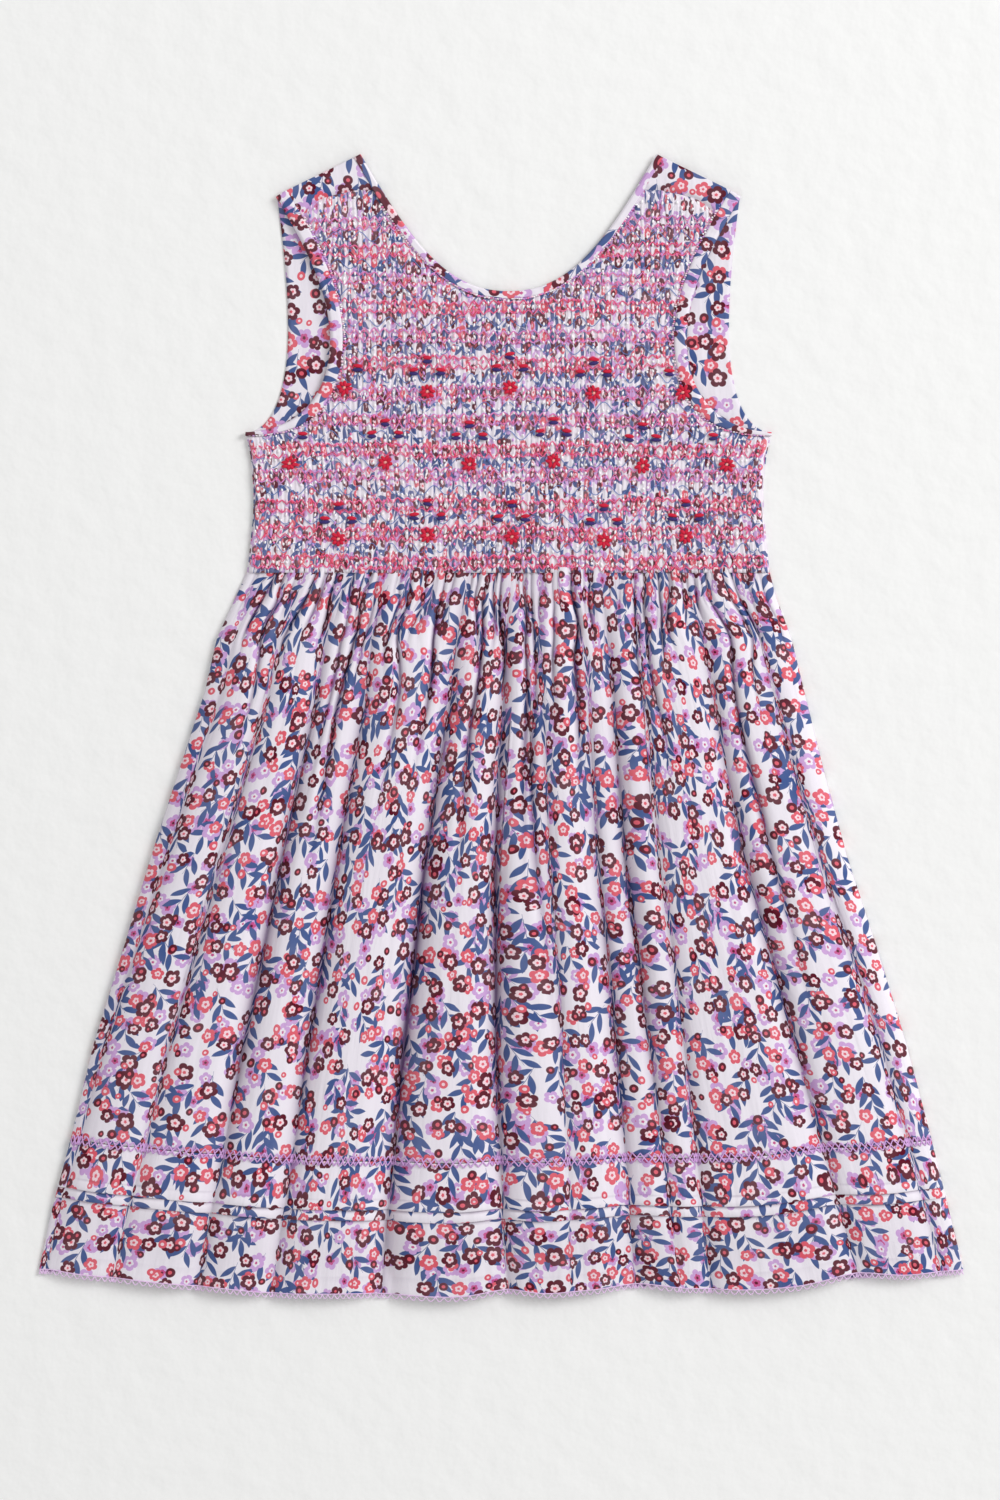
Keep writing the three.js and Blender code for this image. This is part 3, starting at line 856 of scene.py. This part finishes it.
def gathers(seed, spacing, valleys):
    """The creases of one gathered panel, from side to side: the large folds and, between them, small creases
    of uneven spacing and length, with the shortest ones close together at the waist. flat is a crease's place
    on the flat panel, ends how far down it runs and room the width that it may draw on."""
    chance = np.random.default_rng(seed)
    creases = [{"flat": np.mean(runs) * SKIRT_FLAT_HALF, "fold": (runs, *rest), "sway": 0, "turn": 0}
               for runs, *rest in valleys]
    taken = [crease["flat"] for crease in creases]
    place = -SKIRT_FLAT_HALF + spacing * 0.7
    while place < SKIRT_FLAT_HALF - spacing * 0.4:
        if min(abs(place - other) for other in taken) > spacing * 0.45:
            lengths = [chance.uniform(30, 60), chance.uniform(70, 140), chance.uniform(160, 280)]
            ends = chance.choice(lengths, p=[0.3, 0.42, 0.28])
            creases.append({"flat": place, "ends": ends, "deep": chance.uniform(2.4, 5), "fold": None,
                            "sway": chance.uniform(0.5, 2.5), "turn": chance.uniform(0, 6)})
        place += spacing * chance.uniform(0.65, 1.35)
    taken = [crease["flat"] for crease in creases]
    for place in np.arange(-SKIRT_FLAT_HALF + 3, SKIRT_FLAT_HALF - 2, spacing * 0.42):
        place += chance.uniform(-0.8, 0.8)
        if min(abs(place - other) for other in taken) > spacing * 0.26:
            creases.append({"flat": place, "ends": chance.uniform(14, 46), "deep": chance.uniform(1.2, 2.6),
                            "fold": None, "sway": 0.6, "turn": chance.uniform(0, 6)})
    creases.sort(key=lambda crease: crease["flat"])
    edges = [-SKIRT_FLAT_HALF] + [crease["flat"] for crease in creases] + [SKIRT_FLAT_HALF]
    for i, crease in enumerate(creases):
        crease["room"] = min(edges[i + 1] - edges[i], edges[i + 2] - edges[i + 1])
    return creases


CREASE_LEAST = 0.13  # what is left of a small crease at the hem
CREASE_BAND = 1.75  # flat width of a crease for each mm of cloth that it takes up


def crease_strength(crease, drop):
    if crease["fold"]:
        return 0.75 + 0.9 * smoothstep(drop, 10, 120)
    return CREASE_LEAST + (1 - CREASE_LEAST) * (1 - smoothstep(drop, crease["ends"] * 0.35, crease["ends"]))


def crease_place(crease, drop):
    return crease["flat"] + crease["sway"] * np.sin(drop / 37 + crease["turn"])


def taken_up(creases, flat, drop):
    """Where the cloth at a place on the flat panel comes to lie, from the panel's middle, once every crease
    has taken up its part of the width"""
    to_lose = 2 * (SKIRT_FLAT_HALF - skirt_half(drop))
    pulls = [crease_strength(crease, drop) * crease["room"] for crease in creases]
    whole = sum(pulls)
    place = flat
    for crease, pull in zip(creases, pulls):
        loss = to_lose * pull / whole
        middle = crease_place(crease, drop)
        place = place - loss * (smoothstep((flat - middle) / (loss * CREASE_BAND + 1), -0.5, 0.5) - 0.5)
    return place


def folded_width(creases, flat, drop):
    """The same place, from -1 to 1 between the side edges, with each large fold's valley drawn to its line"""
    half = skirt_half(drop)
    rows, which = np.unique(drop, return_inverse=True)
    lines = [(-half, -half)]
    for crease in creases:
        if crease["fold"]:
            runs, *_ = crease["fold"]
            line = taken_up(creases, crease["flat"] + 0 * rows, rows)[which]
            lines.append((line, down_skirt(runs, drop) * half))
    lines.append((half, half))
    place = np.clip(taken_up(creases, flat, drop), -half, half)
    drawn = np.zeros_like(flat)
    for (start, new_start), (end, new_end) in zip(lines, lines[1:]):
        part = (place - start) / (end - start)
        inside = (part >= 0) & (part <= 1)
        drawn = np.where(inside, lerp(new_start, new_end, part), drawn)
    return drawn / half


CRISP_SHARE = 0.45  # how much deeper than its trough the crease in the middle of a large fold is
CRISP_HALF = 2.4


def fold_depth(creases, across, drop):
    """How far the creases sink the cloth, how far they draw the hem up and how dark the painted shade in them
    is
    """
    half = skirt_half(drop)
    rows, which = np.unique(drop, return_inverse=True)
    lines = np.concatenate([crease_place(crease, rows) for crease in creases])
    lines = folded_width(creases, lines, np.tile(rows, len(creases))).reshape(len(creases), -1)
    sunk, drawn, painted_shade = np.zeros((3, len(across)))
    for place, crease in enumerate(creases):
        if crease["fold"]:
            runs, sinks, wide, draw = crease["fold"]
            aside = (across - down_skirt(runs, drop)) * half
            away = aside / wide
            deep = np.maximum(down_skirt(sinks, drop), 0)
            crisp = CRISP_SHARE * deep * np.exp(-np.abs(aside / CRISP_HALF) ** 1.3)
            sunk = sunk + deep / (1 + away**2) ** 1.5 + crisp
            # painted shade along the crisp middle of each large fold, fainter near the hem
            painted_shade = np.maximum(painted_shade, crisp / (CRISP_SHARE * 7) * (1 - 0.6 * smoothstep(drop, 230, 310)))
            drawn = drawn + draw * np.exp(-(away**2) * DRAW_REACH)
        else:
            wide = 1.1 + 2.2 * smoothstep(drop, 5, 150)
            away = np.abs(across - lines[place][which]) * half / wide
            fade = 1 - smoothstep(drop, crease["ends"] * 0.4, crease["ends"])
            start = 0.62 + 0.38 * smoothstep(drop, 0, 25)
            start = start * (0.1 + 0.9 * fade)
            sunk = sunk + crease["deep"] * start * np.exp(-away**1.5)
            # painted shade along each small crease
            shade = (0.3 + crease["deep"] / 6) * start * np.exp(-(away * 1.5) ** 2)
            painted_shade = np.maximum(painted_shade, shade - 0.06)
    return sunk, drawn, np.clip(painted_shade, 0, 1)


def skirt_x_y(across, drop, drawn=0):
    x = np.interp(drop, SECTION_DROP, SECTION_MIDDLE) + across * skirt_half(drop)
    bow = HEM_BOW * (np.maximum(drop, 0) / HEM_DROP) ** 0.9
    return x, WAIST_Y - drop + bow * across**2 + drawn * (np.maximum(drop, 0) / HEM_DROP) ** 5


front_creases = gathers(11, 12.5, FRONT_VALLEYS)
back_creases = gathers(23, 17, BACK_VALLEYS)


def front_cloth(flat, drop):
    """The front skirt's cloth at a place on the flat panel: x, y, the height of its top and its painted
    crease shade
    """
    across = folded_width(front_creases, flat, drop)
    sunk, drawn, painted_shade = fold_depth(front_creases, across, drop)
    inside = np.sqrt(np.clip(1 - np.abs(across) ** 7, 0, 1))
    x, y = skirt_x_y(across, drop, drawn * inside)
    loft = np.interp(drop, SECTION_DROP, SECTION_LOFT)
    soft = 0.5 * np.sin(x / 21 + 1.7 * np.sin(y / 61)) * np.sin(y / 43 + 0.8) * smoothstep(drop, 10, 90)
    reeds = 0.35 * np.cos(x * 2 * math.pi / 2.45) * (1 - smoothstep(drop, 2, 11))
    sunk = np.minimum(sunk + HEM_FALL * smoothstep(drop, HEM_DROP - 45, HEM_DROP), loft - LEAST_TOP)
    return x, y, FRONT_EDGE_TOP + (loft - FRONT_EDGE_TOP - sunk + soft + reeds) * inside, painted_shade


def back_cloth(flat, drop):
    """The same for the back skirt, whose creases are shallow and rise off the surface"""
    across = folded_width(back_creases, flat, drop)
    lift, _, painted_shade = fold_depth(back_creases, across, drop)
    inside = np.sqrt(np.clip(1 - np.abs(across) ** 7, 0, 1))
    x, y = skirt_x_y(across, drop, BACK_HEM_RISE * (1 - across**2))
    return x, y, BACK_SKIRT_TOP + np.minimum(lift * 0.45, 0.9) * inside, painted_shade


def flat_width(across):
    """Columns of cloth from side to side, closer together near the side seams"""
    side = across * 2 - 1
    return SKIRT_FLAT_HALF * (0.55 * side + 0.45 * np.sin(side * math.pi / 2))


def panel_shape(cloth, cut, foot, head, crowding=1):
    """A panel of a skirt's cloth, from its foot to its head in mm below the waist, cut from the printed
    cloth's stretch around cut. Crowding brings its rows closer together at the foot."""
    def shape(across, along):
        drop = foot - (foot - head) * (1 - (1 - along) ** crowding)
        flat = flat_width(across)
        x, y, z, painted_shade = cloth(flat, drop)
        return x, y, z, flat + cut, -drop, painted_shade
    return shape


front_foot, back_foot = [INSERTION_DROP - INSERTION_GAPS[side] / 2 for side in ("front", "back")]
front_skirt = voile_piece("front_skirt", 400, 112,
                          panel_shape(front_cloth, 0, front_foot, -WAIST_TUCK_IN, crowding=1.25))
back_skirt = voile_piece("back_skirt", 260, 60, panel_shape(back_cloth, 1300, back_foot, head=0))

# Hem band.
# A straight band of the printed voile below the insertion. Two narrow tucks are stitched across the front
# one, each folded down over the next, and its lower edge is turned up.

BAND_HEAD = INSERTION_DROP + INSERTION_GAPS["front"] / 2
FIRST_TUCK_DROP = 309
TUCK_DEPTH = 5.2
TUCK_RISE = 1
TUCK_FOOT = FIRST_TUCK_DROP + TUCK_DEPTH
SECOND_FOOT = TUCK_FOOT + TUCK_DEPTH
HEM_TURN = 0.5  # how far above the hem the cloth's last row lies
FRONT_BAND_CUT = (220, 320)  # where on the printed cloth it is cut
# Down the band: how far each row lies below the waist, how far it stands proud, its place on the flat cloth
# and how dark the painted shadow is there, along the tucks, under their folded edges and at the hem's turn
BAND_ROWS = [
    (BAND_HEAD, 0, 0, 0), *((BAND_HEAD + down, 0, down, 0) for down in (1, 5, 9, 13)),
    (FIRST_TUCK_DROP - 0.8, 0, 16.5, 0), (FIRST_TUCK_DROP, -0.1, 17, 0.35),
    (FIRST_TUCK_DROP + 1, 0.5, 18.2, 0), (FIRST_TUCK_DROP + 3, TUCK_RISE, 20.2, 0),
    (TUCK_FOOT - 0.4, TUCK_RISE, 22.2, 0), (TUCK_FOOT, TUCK_RISE * 0.7, 22.8, 0.1),
    (TUCK_FOOT + 0.1, -0.3, 34, 0.6), (TUCK_FOOT + 0.9, -0.2, 34.9, 0.3), (TUCK_FOOT + 1.6, 0.5, 35.7, 0),
    (TUCK_FOOT + 3, TUCK_RISE, 37.2, 0), (SECOND_FOOT - 0.4, TUCK_RISE, 39.2, 0),
    (SECOND_FOOT, TUCK_RISE * 0.7, 39.8, 0.1), (SECOND_FOOT + 0.1, -0.3, 51, 0.6),
    (SECOND_FOOT + 0.9, -0.25, 51.9, 0.3), (SECOND_FOOT + 2, -0.05, 53.3, 0),
    *((HEM_DROP - up, 0, 89 - up, 0) for up in (33, 29, 25, 21, 17, 13)),
    (HEM_DROP - 10, 0.02, 79, 0), (HEM_DROP - 9, 0.12, 80, 0.15), (HEM_DROP - 6, 0.16, 83, 0),
    (HEM_DROP - 3, 0.14, 86, 0), (HEM_DROP - 1, 0.05, 88, 0), (HEM_DROP - HEM_TURN, -0.3, 88.5, 0),
]


def front_band_shape(across, along):
    rows = np.array(BAND_ROWS[::-1], float)
    row = np.rint(along * (len(rows) - 1)).astype(int)
    # the fourth column is the painted shadow of the tucks, joined with the painted shade of the creases
    drop, proud, down, painted_tuck_shadow = rows[row].T
    flat = flat_width(across)
    x, y, z, painted_shade = front_cloth(flat, drop)
    uneven = 0.6 + 0.4 * np.sin(flat / 19) * np.sin(flat / 7.3)
    return (x, y, z + proud * uneven, flat + FRONT_BAND_CUT[0], -down - FRONT_BAND_CUT[1],
            np.maximum(painted_shade, painted_tuck_shadow * uneven))


front_band = voile_piece("front_hem_band", 400, len(BAND_ROWS) - 1, front_band_shape)
back_band = voile_piece("back_hem_band", 260, 16, panel_shape(
    back_cloth, 1700, HEM_DROP - HEM_TURN, head=INSERTION_DROP + INSERTION_GAPS["back"] / 2))

# Insertion.
# An openwork braid of lilac thread that joins the skirt to its hem band: two zigzags that cross and leave
# small diamonds between them. The front's lies close over the edges of the cloth, and the back's has edge
# cords.

INSERTION_STEP = 7  # mm of flat cloth for each zigzag
lilac_thread = thread_material("lilac_thread", (214, 170, 224))


def side_to_side(inset, places):
    return np.linspace(-SKIRT_FLAT_HALF + inset, SKIRT_FLAT_HALF - inset, places)


def crossed_lines(cloth, rise):
    """The two zigzags of the insertion on a cloth, reaching a little over its edges, in mm"""
    flat = side_to_side(0.5, 1200)
    lines = []
    for start in (0, 0.5):
        beat = np.abs((flat / INSERTION_STEP + start) % 1 - 0.5) * 4 - 1
        x, y, z, _ = cloth(flat, INSERTION_DROP + beat * (INSERTION_WIDTH / 2 + 0.3))
        lines.append(np.column_stack((x, y, z + rise + 0.2 * np.sin(beat * 3))))
    return lines


for side, cloth, rise, radius in (("front", front_cloth, 0.3, 0.34), ("back", back_cloth, -0.15, 0.28)):
    threads(side + "_insertion_thread", "lilac_thread", crossed_lines(cloth, rise), radius, lilac_thread,
            side + "_insertion")
edge_flat = side_to_side(0.5, 640)
edge_aside = INSERTION_GAPS["back"] / 2 + 0.2
edge_cords = [np.column_stack(back_cloth(edge_flat, INSERTION_DROP + aside + 0 * edge_flat)[:3])
              for aside in (-edge_aside, edge_aside)]
threads("back_insertion_cords", "lilac_thread", edge_cords, 0.15, lilac_thread)

# Picot edging.
# Small scallops of pale lilac thread, worked over a cord along the hem.

PICOT_STEP = 3.7  # mm of flat cloth for each scallop
PICOT_DEEP = 2.2
picot_thread = thread_material("picot_thread", (232, 200, 237))


def picot_lines(cloth, rise, up):
    """The cord along a cloth's hem and the scallops over it, in mm"""
    flat = side_to_side(0.3, 1320)
    x, y, z, _ = cloth(flat, HEM_DROP - 0.7 - up + 0 * flat)
    scallop = PICOT_DEEP * np.abs(np.sin(flat * math.pi / PICOT_STEP))
    return [np.column_stack((x, y, z + rise)), np.column_stack((x, y - scallop, z + rise))]


for side, cloth, rise, up, radius in (("front", front_cloth, 0, 0, 0.27),
                                      ("back", back_cloth, 0.1, 1.5, 0.36)):
    threads(side + "_picot_thread", "lilac_thread", picot_lines(cloth, rise, up), radius, picot_thread,
            side + "_picot")

# Floor, light and camera.
# The plain pale surface that the dress lies on, lit softly from the upper right and seen from straight above.

FLOOR_PALE = (246, 246, 245)
floor = in_scene("floor", flat_grid("floor", 1, 1, 3))
floor_paint, tree, shader = new_material("floor_paint", {"Base Color": dye(*FLOOR_PALE), "Roughness": 0.9})
roughen(shader, noise(node("TexCoord", {}, "Object", tree), 60, 3), 2 * MM)
floor.data.materials.append(floor_paint)

world = bpy.data.worlds.new("studio")
world.use_nodes = True
world.node_tree.nodes["Background"].inputs["Color"].default_value = (1, 1, 1, 1)
world.node_tree.nodes["Background"].inputs["Strength"].default_value = 0.62
bpy.context.scene.world = world

lamp = bpy.data.lights.new("window_light", "AREA")
lamp.shape = "SQUARE"
lamp.size = 1.7
lamp.energy = 108
window = in_scene("window_light", lamp)
window.location = (3, 1.7, 2.6)
window.rotation_euler = window.location.to_track_quat("Z", "Y").to_euler()

SEEN_HEIGHT = 0.735  # m from the picture's bottom to its top, at the cloth's height
CAMERA_HEIGHT = 2.5
CLOTH_HEIGHT = 0.008
SENSOR = 36
camera_lens = bpy.data.cameras.new("camera")
camera_lens.sensor_fit = "VERTICAL"
camera_lens.sensor_height = SENSOR
camera_lens.lens = SENSOR * (CAMERA_HEIGHT - CLOTH_HEIGHT) / SEEN_HEIGHT
camera = in_scene("camera", camera_lens)
camera.location = (-0.00066, -0.01175, CAMERA_HEIGHT)
bpy.context.scene.camera = camera
bpy.context.scene.view_settings.view_transform = "Standard"
